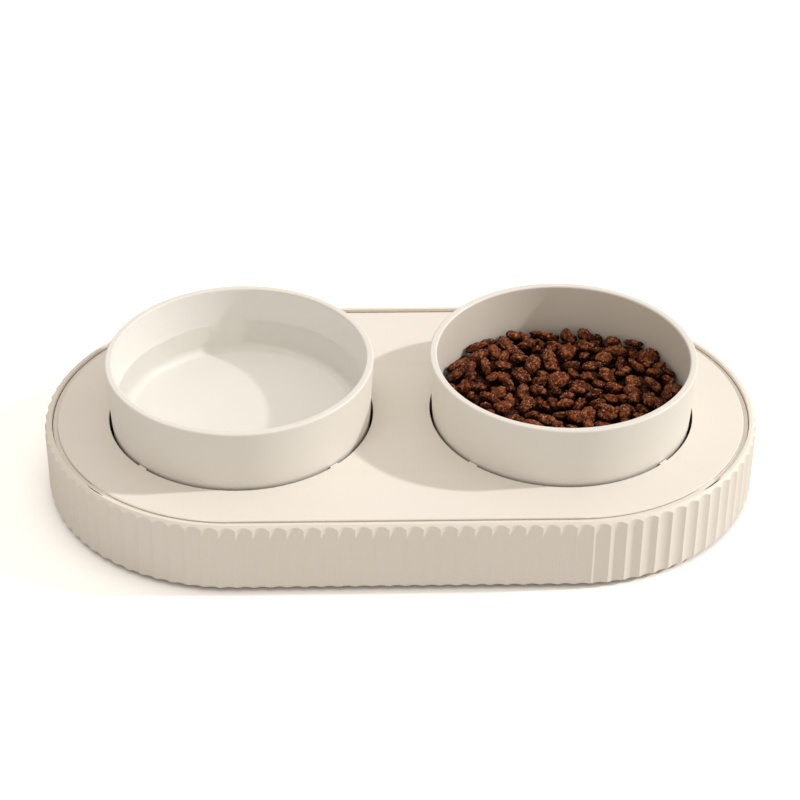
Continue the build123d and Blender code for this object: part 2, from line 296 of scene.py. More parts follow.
def revolved(path, spot, sides):
    """Points and faces of a body of revolution about a spot's upright axis. Its path runs
    from axis to axis as (radius, height)."""
    points = []
    rings = []
    for radius, height in path:
        count = 1 if radius < ON_AXIS else sides
        rings.append(range(len(points), len(points) + count))
        for side in range(count):
            angle = 2 * math.pi * side / sides
            across = radius * math.cos(angle)
            aside = radius * math.sin(angle)
            points.append((spot.x + across, spot.y + aside, height))
    faces = []
    for low, high in zip(rings, rings[1:]):
        for side in range(sides):
            following = (side + 1) % sides
            face = [low[side % len(low)]]
            if len(low) > 1:
                face.append(low[following])
            if len(high) > 1:
                face.append(high[following])
            face.append(high[side % len(high)])
            faces.append(face)
    return points, faces


def turned(name, path, spot, sides, materials, body):
    """A piece that is a body of revolution."""
    points, faces = revolved(path, spot, sides)
    piece = make_piece(name, points, faces, materials, body)
    weigh_normals(piece)
    return piece


# ------------------------------------------------------------------ node helpers
def new_group(name, inputs, outputs):
    """A node group with named inputs (label, kind, default) and outputs (label, kind)."""
    group = bpy.data.node_groups.new(name, "ShaderNodeTree")
    for label, kind, default in inputs:
        socket = group.interface.new_socket(label, in_out="INPUT", socket_type=kind)
        socket.default_value = default
    for label, kind in outputs:
        group.interface.new_socket(label, in_out="OUTPUT", socket_type=kind)
    source = group.nodes.new("NodeGroupInput")
    sink = group.nodes.new("NodeGroupOutput")
    return group, source, sink


def place_group(tree, group, values):
    """A use of a node group, with its input values by name."""
    node = tree.nodes.new("ShaderNodeGroup")
    node.node_tree = group
    for key, value in values.items():
        node.inputs[key].default_value = value
    return node


def add_node(tree, kind, values=None, links=None, **settings):
    """A node with its settings, its socket values and its links, by socket name or number."""
    node = tree.nodes.new(kind)
    for key, value in settings.items():
        setattr(node, key, value)
    for key, value in (values or {}).items():
        node.inputs[key].default_value = value
    for key, socket in (links or {}).items():
        tree.links.new(socket, node.inputs[key])
    return node


def parted(inputs):
    """Inputs parted into those that are plain numbers or colours and those that are sockets."""
    values = {key: value for key, value in inputs.items() if isinstance(value, (float, tuple))}
    links = {key: value for key, value in inputs.items() if key not in values}
    return values, links


def noise_value(tree, place, scale, detail, roughness):
    """Noise in space. Its scale is a number or a socket."""
    inputs = {"Vector": place, "Scale": scale, "Detail": detail, "Roughness": roughness}
    return add_node(tree, "ShaderNodeTexNoise", *parted(inputs)).outputs["Fac"]


def arithmetic(tree, operation, *terms):
    """One operation on numbers and sockets."""
    inputs = dict(enumerate(terms))
    node = add_node(tree, "ShaderNodeMath", *parted(inputs), operation=operation)
    return node.outputs[0]


def remap(tree, value, source, target=(0.0, 1.0), curve="LINEAR"):
    """A value carried from one range to another. The ranges' ends are numbers or sockets."""
    inputs = {
        "Value": value,
        "From Min": source[0],
        "From Max": source[1],
        "To Min": target[0],
        "To Max": target[1],
    }
    node = add_node(tree, "ShaderNodeMapRange", *parted(inputs), interpolation_type=curve)
    return node.outputs["Result"]


def mix_colours(tree, factor, first, second):
    """The first colour, turning into the second as the factor goes from 0 to 1."""
    inputs = {"Factor": factor, 6: first, 7: second}
    return add_node(tree, "ShaderNodeMix", *parted(inputs), data_type="RGBA").outputs[2]


def openness(tree, reach, span, top=1.0, curve="LINEAR"):
    """0 where other surfaces close a place in within a reach, rising to the top in the open."""
    nearby = add_node(
        tree,
        "ShaderNodeAmbientOcclusion",
        {"Distance": reach},
        samples=OPENNESS_SAMPLES,
    )
    return remap(tree, nearby.outputs["AO"], span, (0.0, top), curve)


def add_relief(tree, shader, height, strength, depth):
    """Relief that is too fine for the mesh."""
    relief = add_node(
        tree,
        "ShaderNodeBump",
        {"Strength": strength, "Distance": depth},
        {"Height": height},
    )
    tree.links.new(relief.outputs["Normal"], shader.inputs["Normal"])


def new_material(name):
    """A material, its node tree and its main shader."""
    material = bpy.data.materials.new(name)
    material.use_nodes = True
    tree = material.node_tree
    return material, tree, tree.nodes["Principled BSDF"]


# ------------------------------------------------------------------ shared effects
FLOAT = "NodeSocketFloat"
COLOUR = "NodeSocketColor"
FLAT = 0.5                           # what Pointiness reads on a flat face


def make_moulded_skin():
    """Spark-eroded grain of a mould, with the slow unevenness of a cooled wall."""
    group, source, sink = new_group(
        "moulded_skin",
        [("Grain", FLOAT, 1800.0), ("Unevenness", FLOAT, 0.3)],
        [("Height", FLOAT), ("Mottle", FLOAT)],
    )
    place = add_node(group, "ShaderNodeTexCoord").outputs["Object"]
    fine = noise_value(group, place, source.outputs["Grain"], 3.0, 0.55)
    slow = noise_value(group, place, 45.0, 2.0, 0.5)
    uneven = arithmetic(group, "MULTIPLY", slow, source.outputs["Unevenness"])
    group.links.new(arithmetic(group, "ADD", fine, uneven), sink.inputs["Height"])
    group.links.new(slow, sink.inputs["Mottle"])
    return group


def make_hue_drift():
    """A plastic's colour wandering slowly between two near tints."""
    group, source, sink = new_group(
        "hue_drift",
        [
            ("Tint", COLOUR, (1, 1, 1, 1)),
            ("Other Tint", COLOUR, (1, 1, 1, 1)),
            ("Scale", FLOAT, 20.0),
        ],
        [("Colour", COLOUR)],
    )
    place = add_node(group, "ShaderNodeTexCoord").outputs["Object"]
    slow = noise_value(group, place, source.outputs["Scale"], 3.0, 0.6)
    spread = remap(group, slow, NOISE_CORE)
    colour = mix_colours(group, spread, source.outputs["Tint"], source.outputs["Other Tint"])
    group.links.new(colour, sink.inputs["Colour"])
    return group


def make_edge_wear_highlight_and_hollow():
    """Masks that are 1 on outer edges, broken up by noise, where a paler tint paints wear and a
    highlight, and 1 in hollows, where painted shade goes.
    """
    group, source, sink = new_group(
        "edge_wear_highlight_and_hollow",
        [("Reach", FLOAT, 0.08)],
        [("Edge", FLOAT), ("Hollow", FLOAT)],
    )
    point = add_node(group, "ShaderNodeNewGeometry").outputs["Pointiness"]
    place = add_node(group, "ShaderNodeTexCoord").outputs["Object"]
    patchy = noise_value(group, place, 160.0, 3.0, 0.6)
    sharp = arithmetic(group, "ADD", FLAT, source.outputs["Reach"])
    deep = arithmetic(group, "SUBTRACT", FLAT, source.outputs["Reach"])
    edge = remap(group, point, (FLAT, sharp))
    hollow = remap(group, point, (FLAT, deep))
    group.links.new(arithmetic(group, "MULTIPLY", edge, patchy), sink.inputs["Edge"])
    group.links.new(hollow, sink.inputs["Hollow"])
    return group


moulded_skin = make_moulded_skin()
hue_drift = make_hue_drift()
edge_wear_highlight_and_hollow = make_edge_wear_highlight_and_hollow()


# ------------------------------------------------------------------ materials
def moulded_plastic(name, tint, other_tint, edge_wear_and_highlight_tint, roughness, grain, relief):
    """Matt moulded plastic: drifting tint, mould grain, paler edges that are partly wear and
    partly painted highlight, and painted shade in the gaps.
    """
    material, tree, shader = new_material(name)
    skin = place_group(tree, moulded_skin, {"Grain": grain})
    drift = place_group(
        tree,
        hue_drift,
        {"Tint": tint, "Other Tint": other_tint, "Scale": PLASTIC_DRIFT_SCALE},
    )
    edges = place_group(tree, edge_wear_highlight_and_hollow, {"Reach": PLASTIC_EDGE_REACH})
    # Outer edges take a paler tint: partly wear, partly a painted highlight on ridges and lips.
    worn_and_highlit = mix_colours(tree, edges.outputs["Edge"], drift.outputs["Colour"], edge_wear_and_highlight_tint)
    # Painted shade: the dark brown is laid where other surfaces close a place in.
    gap_shaded = mix_colours(tree, openness(tree, GAP_SHADE_REACH, GAP_SHADE_SPAN), GAP_SHADE_COLOUR, worn_and_highlit)
    tree.links.new(gap_shaded, shader.inputs["Base Color"])
    gloss = (roughness - PLASTIC_GLOSS_PLAY, roughness + PLASTIC_GLOSS_PLAY)
    rough = remap(tree, skin.outputs["Mottle"], NOISE_SPAN, gloss)
    tree.links.new(rough, shader.inputs["Roughness"])
    add_relief(tree, shader, skin.outputs["Height"], relief, PLASTIC_GRAIN_DEPTH)
    shader.inputs["IOR"].default_value = PLASTIC_IOR
    return material


def clear_water():
    """Still water, which bends the key's light and shows a faint cool tint."""
    material, tree, shader = new_material("still_water")
    shader.inputs["Base Color"].default_value = WATER_TINT
    shader.inputs["Roughness"].default_value = 0.0
    shader.inputs["IOR"].default_value = WATER_IOR
    shader.inputs["Transmission Weight"].default_value = 1.0
    clear = add_node(tree, "ShaderNodeBsdfTransparent", {"Color": WATER_SHADOW_TINT})
    path = add_node(tree, "ShaderNodeLightPath")
    mix = add_node(
        tree,
        "ShaderNodeMixShader",
        links={0: path.outputs["Is Shadow Ray"], 1: shader.outputs[0], 2: clear.outputs[0]},
    )
    tree.links.new(mix.outputs[0], tree.nodes["Material Output"].inputs["Surface"])
    return material


def kibble_crust():
    """Baked food: each pellet its own brown, with toasted patches, pale crumbs, and painted shade
    in its creases and in the gaps between pellets."""
    material, tree, shader = new_material("kibble_crust")
    place = add_node(tree, "ShaderNodeTexCoord").outputs["Object"]
    island = add_node(tree, "ShaderNodeNewGeometry").outputs["Random Per Island"]
    own = add_node(tree, "ShaderNodeValToRGB", links={"Fac": island})
    ramp = own.color_ramp
    ramp.elements[0].color = CRUST_BROWNS[0]
    ramp.elements[1].color = CRUST_BROWNS[2]
    ramp.elements.new(0.5).color = CRUST_BROWNS[1]
    patches = noise_value(tree, place, TOAST_SCALE, 4.0, 0.65)
    toast = remap(tree, patches, TOAST_SPAN, (0.0, TOAST_MOST))
    toasted = mix_colours(tree, toast, own.outputs["Color"], TOAST_COLOUR)
    flecks = noise_value(tree, place, FLECK_SCALE, 4.0, 0.7)
    flecked = mix_colours(tree, remap(tree, flecks, FLECK_SPAN), toasted, FLECK_COLOUR)
    edges = place_group(tree, edge_wear_highlight_and_hollow, {"Reach": CREASE_SHADE_REACH})
    # Painted shade in the pellets' hollows.
    crease_shaded = mix_colours(tree, edges.outputs["Hollow"], flecked, CREASE_SHADE_COLOUR)
    # Painted shade: places that other pellets close in turn near-black.
    outer = openness(tree, CRUST_GAP_SHADE_REACH, CRUST_GAP_SHADE_SPAN, curve="SMOOTHERSTEP")
    tree.links.new(
        mix_colours(tree, outer, CRUST_GAP_SHADE_COLOUR, crease_shaded), shader.inputs["Base Color"]
    )
    crumbs = noise_value(tree, place, CRUMB_SCALE, 5.0, 0.7)
    tree.links.new(remap(tree, crumbs, NOISE_SPAN, CRUST_ROUGHNESS), shader.inputs["Roughness"])
    add_relief(tree, shader, crumbs, 1.0, CRUMB_DEPTH)
    shader.inputs["Specular IOR Level"].default_value = CRUST_SPECULAR
    shader.inputs["Specular Tint"].default_value = CRUST_SPECULAR_TINT
    return material


def zinc_plate():
    """Zinc-plated screw heads, faintly streaked."""
    material, tree, shader = new_material("zinc_plate")
    skin = place_group(tree, moulded_skin, {"Grain": ZINC_GRAIN})
    drift = place_group(
        tree,
        hue_drift,
        {"Tint": ZINC_TINTS[0], "Other Tint": ZINC_TINTS[1], "Scale": ZINC_DRIFT_SCALE},
    )
    tree.links.new(drift.outputs["Colour"], shader.inputs["Base Color"])
    rough = remap(tree, skin.outputs["Mottle"], (0.0, 1.0), ZINC_ROUGHNESS)
    tree.links.new(rough, shader.inputs["Roughness"])
    shader.inputs["Metallic"].default_value = 1.0
    return material


# ------------------------------------------------------------------ pieces
def plan_point(travel, inset):
    """A point on the base's outline, walked anticlockwise from the front's middle and then
    moved straight in by the inset."""
    reach = END_RADIUS - inset
    travel = travel % PLAN_LENGTH
    if travel < HALF_STRAIGHT:
        return travel, -reach
    travel -= HALF_STRAIGHT
    if travel < TURN:
        angle = travel / END_RADIUS - math.pi / 2
        return HALF_STRAIGHT + reach * math.cos(angle), reach * math.sin(angle)
    travel -= TURN
    if travel < 2 * HALF_STRAIGHT:
        return HALF_STRAIGHT - travel, reach
    travel -= 2 * HALF_STRAIGHT
    if travel < TURN:
        angle = travel / END_RADIUS + math.pi / 2
        return -HALF_STRAIGHT + reach * math.cos(angle), reach * math.sin(angle)
    return travel - TURN - HALF_STRAIGHT, -reach


# A flute is a hollow arc of hollow_radius, which meets the ridges' small rounds smoothly.
ridge_to_hollow = ((FLUTE_PITCH / 2) ** 2 + FLUTE_DEPTH**2) / (2 * FLUTE_DEPTH)
hollow_radius = ridge_to_hollow - RIDGE_ROUND
ridge_half = RIDGE_ROUND * (FLUTE_PITCH / 2) / ridge_to_hollow


def flute_depth(travel):
    """How deep the skirt's surface lies at a place on the outline."""
    offset = travel % FLUTE_PITCH
    offset = min(offset, FLUTE_PITCH - offset)
    if offset < ridge_half:
        return RIDGE_ROUND - math.sqrt(RIDGE_ROUND**2 - offset**2)
    across = FLUTE_PITCH / 2 - offset
    return FLUTE_DEPTH - hollow_radius + math.sqrt(hollow_radius**2 - across**2)


def skirt_stations():
    """Places round the outline where the shell's section is drawn, as
    (travel, ledge reach, recess of the rim)."""
    half_flute = [ridge_half * step / RIDGE_STEPS for step in range(RIDGE_STEPS + 1)]
    rest = FLUTE_PITCH / 2 - ridge_half
    half_flute += [ridge_half + rest * step / VALLEY_STEPS for step in range(1, VALLEY_STEPS + 1)]
    flute = half_flute + [FLUTE_PITCH - offset for offset in reversed(half_flute[1:-1])]
    travels = [index * FLUTE_PITCH + offset for index in range(FLUTE_COUNT) for offset in flute]

    quarter = TURN / 2
    middles = [HALF_STRAIGHT + quarter * place for place in SLOT_PLACES]
    middles += [3 * HALF_STRAIGHT + TURN + quarter * place for place in SLOT_PLACES]
    half_slot = END_RADIUS * math.asin(SLOT_LENGTH / 2 / (END_RADIUS - RIM_WIDTH))
    gap = EDGE_SOFTNESS
    stations = [(travel, LEDGE_REACH, 0.0) for travel in travels]
    for middle in middles:
        for index, (travel, _, _) in enumerate(stations):
            share = abs(travel - middle) / half_slot
            if share < 1:
                stations[index] = (travel, gap, SLOT_RECESS * math.sqrt(1 - share**2))
        for side in (-1, 1):
            stations.append((middle + side * (half_slot + gap), LEDGE_REACH, 0.0))
            stations.append((middle + side * half_slot, gap, 0.0))
    return sorted(stations)


def shell_section(depth, reach, recess):
    """The shell's closed section where the skirt lies at a depth, as (inset, height)."""
    floor = shell_low.z
    top = shell_high.z
    hem = max(HEM_CHAMFER - depth, EDGE_SOFTNESS)
    brow = max(RIM_CHAMFER - depth, EDGE_SOFTNESS)
    soft = EDGE_SOFTNESS
    corners = [
        (RIM_WIDTH, floor, soft, 1),
        (depth + hem, floor, soft, 1),
        (depth, floor + hem, soft, 1),
        (depth, top - brow, soft, 2),
        (depth + brow, top, soft, 2),
        (RIM_WIDTH - recess, top, RIM_ROUND, 4),
        (RIM_WIDTH - recess, LEDGE_TOP, soft, 1),
        (RIM_WIDTH + reach, LEDGE_TOP, soft, 1),
        (RIM_WIDTH + reach, LEDGE_TOP - LEDGE_THICKNESS, soft, 1),
        (RIM_WIDTH, LEDGE_TOP - LEDGE_THICKNESS, soft, 1),
    ]
    return rounded(corners, closed=True)


def add_boss(points, faces, spot, heading):
    """A screw boss under the ledge, with its web to the skirt."""
    along = Vector((math.cos(heading), math.sin(heading)))
    aside = Vector((-along.y, along.x))
    web = BOSS_INSET - RIM_WIDTH / 2
    ring = []
    start = math.asin(BOSS_WEB / 2 / BOSS_RADIUS)
    for side in range(BOSS_SIDES + 1):
        angle = start + (2 * math.pi - 2 * start) * side / BOSS_SIDES
        ring.append(spot + BOSS_RADIUS * (math.cos(angle) * along + math.sin(angle) * aside))
    ring.append(spot + web * along - BOSS_WEB / 2 * aside)
    ring.append(spot + web * along + BOSS_WEB / 2 * aside)
    first = len(points)
    count = len(ring)
    for height in (BOSS_UNDER, LEDGE_TOP - LEDGE_THICKNESS / 2):
        points.extend((place.x, place.y, height) for place in ring)
    for index in range(count):
        following = (index + 1) % count
        faces.append(
            (first + index, first + following, first + count + following, first + count + index)
        )
    faces.append(tuple(first + index for index in reversed(range(count))))
    faces.append(tuple(first + count + index for index in range(count)))


def make_shell(material):
    """The fluted skirt with its rim, ledge and screw bosses."""
    points = []
    stations = skirt_stations()
    for travel, reach, recess in stations:
        for inset, height in shell_section(flute_depth(travel), reach, recess):
            x, y = plan_point(travel, inset)
            points.append((x, y, height))
    rows = len(points) // len(stations)
    faces = []
    for index in range(len(stations)):
        near = index * rows
        far = (index + 1) % len(stations) * rows
        for row in range(rows):
            following = (row + 1) % rows
            faces.append((near + row, near + following, far + following, far + row))
    bosses = [
        (Vector((side * HALF_STRAIGHT, end * (END_RADIUS - BOSS_INSET))), end * math.pi / 2)
        for side in (-1, 1)
        for end in (-1, 1)
    ]
    reach = HALF_STRAIGHT + END_RADIUS - BOSS_INSET
    bosses += [(Vector((reach, 0)), 0.0), (Vector((-reach, 0)), math.pi)]
    for spot, heading in bosses:
        add_boss(points, faces, spot, heading)
    piece = make_piece("fluted_shell", points, faces, [material], "base")
    piece.data.set_sharp_from_angle(angle=SHARP_FOLD)
    weigh_normals(piece)
    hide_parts("base_shell")


def make_bowl(name, spot, node, body, materials):
    """A straight tub with a leaning wall, a round lip and a foot ring. Its materials are the
    outside's and the inside's."""
    foot_inner = BOWL_FOOT_RADIUS - BOWL_FOOT_WIDTH
    foot_bottom = bowl_low.z
    path = rounded(
        [
            (0, bowl_underside, 0, 0),
            (foot_inner, bowl_underside, FOOT_SOFTNESS, 3),
            (foot_inner, foot_bottom, FOOT_SOFTNESS, 3),
            (BOWL_FOOT_RADIUS, foot_bottom, FOOT_SOFTNESS, 3),
            (BOWL_FOOT_RADIUS, bowl_underside, 0, 0),
            (wall_radius(bowl_underside), bowl_underside, BOWL_CORNER, 12),
            (wall_radius(BOWL_TOP), BOWL_TOP, LIP_ROUND, 10),
            (bore_radius(BOWL_TOP), BOWL_TOP, LIP_ROUND, 10),
            (bore_radius(bowl_inside), bowl_inside, BOWL_INNER_CORNER, 12),
            (0, bowl_inside, 0, 0),
        ]
    )
    piece = turned(name, path, spot, BOWL_SIDES, materials, body)
    # Inner faces take the inside's copy of the plastic: paler as painted light in the water bowl,
    # darker and browner as painted shade in the food bowl.
    for face in piece.data.polygons:
        middle = face.center - spot
        inward = middle.to_2d().length < bore_radius(middle.z) + INSIDE_MARGIN
        if inward and bowl_inside - INSIDE_MARGIN < middle.z < BOWL_TOP - LIP_ROUND:
            face.material_index = 1
    piece.cycles.is_caustics_receiver = True
    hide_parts(node)


def make_water(material):
    """The water's body, level on top and drawn up a little where it meets the wall."""
    level = water_level
    edge = bore_radius(level + MENISCUS_HEIGHT) + WATER_LAP
    start = edge - WATER_LAP - MENISCUS_WIDTH
    path = [Vector((0, level))]
    for step in range(MENISCUS_STEPS + 1):
        share = step / MENISCUS_STEPS
        path.append(Vector((start + MENISCUS_WIDTH * share, level + MENISCUS_HEIGHT * share**3)))
    path.append(Vector((edge, level + MENISCUS_HEIGHT)))
    floor = bowl_inside - WATER_LAP
    path += rounded(
        [
            (edge, level, 0, 0),
            (bore_radius(floor) + WATER_LAP, floor, BOWL_INNER_CORNER, 10),
            (0, floor, 0, 0),
        ]
    )
    path.reverse()
    piece = turned("still_water", path, water_spot, BOWL_SIDES, [material], "left_bowl")
    piece.cycles.is_caustics_caster = True
    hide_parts("water")


def ball(quads):
    """A round body of even quads, as a list of unit vectors and a list of faces."""
    mesh = bmesh.new()
    bmesh.ops.create_cube(mesh, size=2.0)
    bmesh.ops.subdivide_edges(mesh, edges=mesh.edges[:], cuts=quads - 1, use_grid_fill=True)
    for vertex in mesh.verts:
        x, y, z = (math.tan(value * math.pi / 4) for value in vertex.co)
        vertex.co = Vector((x, y, z)).normalized()
    mesh.verts.index_update()
    directions = [vertex.co.copy() for vertex in mesh.verts]
    faces = [[vertex.index for vertex in face.verts] for face in mesh.faces]
    mesh.free()
    return directions, faces


def random_direction(draw):
    """A unit vector, any way with the same chance."""
    height = draw.uniform(-1, 1)
    angle = draw.uniform(0, 2 * math.pi)
    flat = math.sqrt(1 - height * height)
    return Vector((flat * math.cos(angle), flat * math.sin(angle), height))


def pellet_form(draw, style):
    """A function that gives one kind of pellet's radius in a direction, as a share of its half
    sizes. The numbers in it were chosen."""
    offset = Vector((draw.uniform(0, 50), draw.uniform(0, 50), draw.uniform(0, 50)))
    lobes = [random_direction(draw) for _ in range(draw.randint(5, 8))]
    cuts = [(random_direction(draw), draw.uniform(0.62, 0.85)) for _ in range(9)]
    bend = draw.uniform(-0.25, 0.25)

    def radius(direction):
        value = 1.0
        if style == "bean":
            crease = math.exp(-(direction.y / 0.16) ** 2) * max(0.0, direction.z)
            value = 0.96 - 0.2 * crease * (1 - 0.5 * abs(direction.x))
            value -= bend * direction.x * direction.z
        elif style == "lump":
            best = max(direction.dot(lobe) for lobe in lobes)
            value = 0.66 + 0.34 * math.exp((best - 1) * 3.2)
        elif style == "disc":
            value = 1 - 0.42 * math.exp(-((1 - abs(direction.z)) / 0.2) ** 2)
        else:
            power = 9.0
            total = 1.0
            for cut, distance in cuts:
                facing = direction.dot(cut) / distance
                if facing > 0:
                    total += facing**power
            value = total ** (-1 / power) * 1.06
        value += 0.12 * noise.noise(direction * 1.9 + offset)
        value += 0.07 * noise.noise(direction * 4.3 + offset)
        nearest = noise.voronoi(direction * 1.5 + offset)[0]
        crease = max(0.0, 1 - (nearest[1] - nearest[0]) / 0.34)
        value += 0.03 - 0.17 * crease**1.5
        value += 0.03 * noise.noise(direction * 11.0 + offset)
        return min(value, 1.06)

    return radius


def heap_target(x, y):
    """Height of the heap's top at a place, measured from the bowl's middle."""
    reach = np.hypot(x, y) / bore_radius(HEAP_MIDDLE)
    edge = np.array(HEAP_EDGE + HEAP_EDGE[:1]) * MM
    step = 2 * math.pi / len(HEAP_EDGE)
    turn = np.mod(np.arctan2(y, x), 2 * math.pi) / step
    low = np.floor(turn).astype(int)
    share = (1 - np.cos((turn - low) * math.pi)) / 2
    rim = edge[low] * (1 - share) + edge[np.minimum(low + 1, len(HEAP_EDGE))] * share
    return HEAP_MIDDLE + (rim - HEAP_MIDDLE) * np.clip(reach, 0, 1) ** 2


def pellet_points(form, style, directions):
    """One kind of pellet's points about its own middle."""
    points = []
    for direction in directions:
        reach = direction * form(direction)
        points.append(
            Vector(
                [
                    share * half * part
                    for share, half, part in zip(PELLET_SHARES[style], PELLET_HALF, reach)
                ]
            )
        )
    return points


def settle_pellets(draw):
    """Drop pellets one at a time where they come to lie lowest, until the heap is full.
    Each is (kind, scale, turn as a matrix, centre, depth under the heap's top)."""
    wall = bore_radius(HEAP_MIDDLE) - WALL_CLEARANCE
    cells = int(2 * wall / CELL) + 3
    line = (np.arange(cells) - (cells - 1) / 2) * CELL
    grid_x, grid_y = np.meshgrid(line, line, indexing="ij")
    target = heap_target(grid_x, grid_y)
    ground = target - BED_DEPTH
    outside = np.hypot(grid_x, grid_y) > wall
    ground[outside] = 1.0            # a metre up, so nothing comes to rest there
    pellets = []
    misses = 0
    while misses < PELLET_MISSES and len(pellets) < PELLET_LIMIT:
        kind = draw.randrange(PELLET_KINDS)
        scale = draw.uniform(*PELLET_SPREAD)
        half = Vector(PELLET_HALF) * scale
        tilt = Euler(
            (draw.gauss(0, PELLET_TILT), draw.gauss(0, PELLET_TILT), draw.uniform(0, 2 * math.pi)),
            "XYZ",
        ).to_matrix()
        turn = Matrix.Rotation(draw.uniform(0, 2 * math.pi), 3, "Z") @ tilt
        # The pellet is taken for an ellipsoid, x.form.x = 1, while it settles.
        stretch = Matrix.Diagonal([1 / (value * NEST) ** 2 for value in half])
        form = turn @ stretch @ turn.transposed()
        reach = int(half.x / CELL) + 1
        offset = np.arange(-reach, reach + 1) * CELL
        near_x, near_y = np.meshgrid(offset, offset, indexing="ij")
        across = form[0][2] * near_x + form[1][2] * near_y
        level = (
            form[0][0] * near_x**2 + 2 * form[0][1] * near_x * near_y + form[1][1] * near_y**2 - 1
        )
        inside = across**2 - form[2][2] * level
        taken = inside > 0
        root = np.sqrt(np.where(taken, inside, 0))
        under = (-across - root) / form[2][2]
        over = (-across + root) / form[2][2]
        size = cells - 2 * reach
        rest = np.full((size, size), -1.0)
        for row, column in zip(*np.nonzero(taken)):
            patch = ground[row:row + size, column:column + size]
            np.maximum(rest, patch - under[row, column], out=rest)
        top = over[taken].max()
        inner = target[reach:reach + size, reach:reach + size]
        excess = rest + top - inner
        fits = np.argwhere(excess < min(excess.min() + SETTLE_PLAY, SETTLE_PLAY / 2))
        if len(fits) == 0:
            misses += 1
            continue
        misses = 0
        row, column = fits[draw.randrange(len(fits))]
        height = rest[row, column]
        patch = ground[row:row + 2 * reach + 1, column:column + 2 * reach + 1]
        patch[taken] = np.maximum(patch[taken], height + over[taken])
        spot = Vector((line[row + reach], line[column + reach], height))
        depth = target[row + reach, column + reach] - height - top
        pellets.append((kind, scale, turn, spot, depth))
    return pellets


def make_kibble(material):
    """Loose pellets over a closed bed."""
    draw = random.Random(PELLET_SEED)
    balls = (ball(NEAR_FACES), ball(DEEP_FACES))
    styles = [PELLET_STYLES[kind % len(PELLET_STYLES)] for kind in range(PELLET_KINDS)]
    forms = [pellet_form(draw, style) for style in styles]
    shapes = [
        [pellet_points(form, style, directions) for directions, _ in balls]
        for form, style in zip(forms, styles)
    ]
    points = []
    faces = []
    for kind, scale, turn, spot, depth in settle_pellets(draw):
        detail = 0 if depth < TOP_LAYER else 1
        first = len(points)
        centre = food_spot + spot
        points.extend(turn @ (place * scale) + centre for place in shapes[kind][detail])
        faces.extend([first + index for index in face] for face in balls[detail][1])
    floor = bowl_inside - WATER_LAP
    crown = HEAP_MIDDLE - BED_DEPTH + BED_OVERLAP
    path = [
        (0.0, floor),
        (bore_radius(bowl_inside) - BOWL_INNER_CORNER, floor),
        (bore_radius(bowl_inside), bowl_inside + BOWL_INNER_CORNER),
        (bore_radius(crown), crown - BED_DROP),
        (0.0, crown),
    ]
    bed_points, bed_faces = revolved(path, food_spot, BED_SIDES)
    first = len(points)
    points.extend(bed_points)
    faces.extend([first + index for index in face] for face in bed_faces)
    piece = make_piece("kibble_heap", points, faces, [material], "right_bowl")
    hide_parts("kibble")


# ------------------------------------------------------------------ camera, floor and light
def make_camera():
    """The photograph's camera."""
    data = bpy.data.cameras.new("photo_camera")
    data.sensor_width = SENSOR
    data.lens = FOCAL_PIXELS / PICTURE_PIXELS * SENSOR
    data.clip_start = 0.05
    data.clip_end = 50
    camera = bpy.data.objects.new("photo_camera", data)
    bpy.context.scene.collection.objects.link(camera)
    turn = (
        Matrix.Rotation(-CAMERA_YAW, 4, "Z")
        @ Matrix.Rotation(math.pi / 2 - CAMERA_DOWN, 4, "X")
        @ Matrix.Rotation(CAMERA_ROLL, 4, "Z")
    )
    camera.matrix_world = Matrix.Translation(CAMERA_SPOT) @ turn
    bpy.context.scene.camera = camera


def make_floor():
    """A plain floor, which the camera sees as white where light falls on it."""
    material, tree, shader = new_material("studio_floor")
    camera_ray = add_node(tree, "ShaderNodeLightPath").outputs["Is Camera Ray"]
    tone = mix_colours(tree, camera_ray, FLOOR_COLOUR, FLOOR_SEEN)
    tree.links.new(tone, shader.inputs["Base Color"])
    shader.inputs["Roughness"].default_value = FLOOR_ROUGHNESS
    shader.inputs["Specular IOR Level"].default_value = 0.0
    lift = add_node(tree, "ShaderNodeEmission", {"Color": (1, 1, 1, 1)})
    seen = arithmetic(tree, "MULTIPLY", camera_ray, FLOOR_LIFT)
    strength = openness(tree, FLOOR_SHADE_REACH, FLOOR_SHADE_SPAN, seen)
    tree.links.new(strength, lift.inputs["Strength"])
    both = add_node(
        tree,
        "ShaderNodeAddShader",
        links={0: shader.outputs[0], 1: lift.outputs[0]},
    )
    tree.links.new(both.outputs[0], tree.nodes["Material Output"].inputs["Surface"])
    far = FLOOR_REACH
    corners = [(-far, -far, 0), (far, -far, 0), (far, far, 0), (-far, far, 0)]
    floor = make_piece("studio_floor", corners, [(0, 1, 2, 3)], [material], None)


